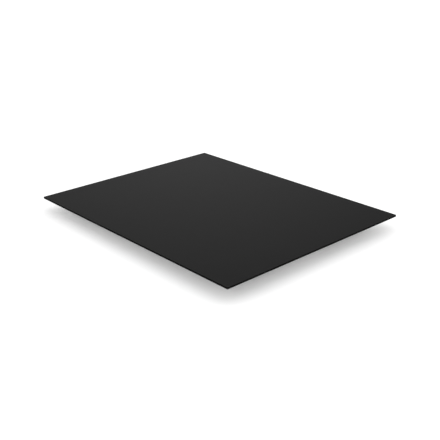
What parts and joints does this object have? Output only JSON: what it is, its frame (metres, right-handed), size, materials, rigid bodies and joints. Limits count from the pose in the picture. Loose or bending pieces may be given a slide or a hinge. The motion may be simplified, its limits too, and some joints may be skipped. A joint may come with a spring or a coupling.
{
  "type": "kick plate",
  "caption": "Flat rectangular kick plate of satin black plastic sheet, undrilled, bonded to the foot of a door by strips of foam tape with release liners on its back.",
  "frame": {"origin": "middle of the back, on the surface that the release liners rest on", "axes": "+X across the door, along the plate's longer side; +Y up the door; +Z out of the plate's face, away from the door"},
  "size_m": [0.45, 0.355, 0.0039],
  "materials": {
    "black_sheet": "satin",
    "foam_tape": "matte",
    "release_liner": "satin"
  },
  "bodies": {
    "root": {"plate": "black_sheet", "tape_bottom": "foam_tape", "tape_top": "foam_tape", "tape_left": "foam_tape", "tape_right": "foam_tape", "tape_centre": "foam_tape", "liner_bottom": "release_liner", "liner_top": "release_liner", "liner_left": "release_liner", "liner_right": "release_liner", "liner_centre": "release_liner"}
  },
  "joints": []
}
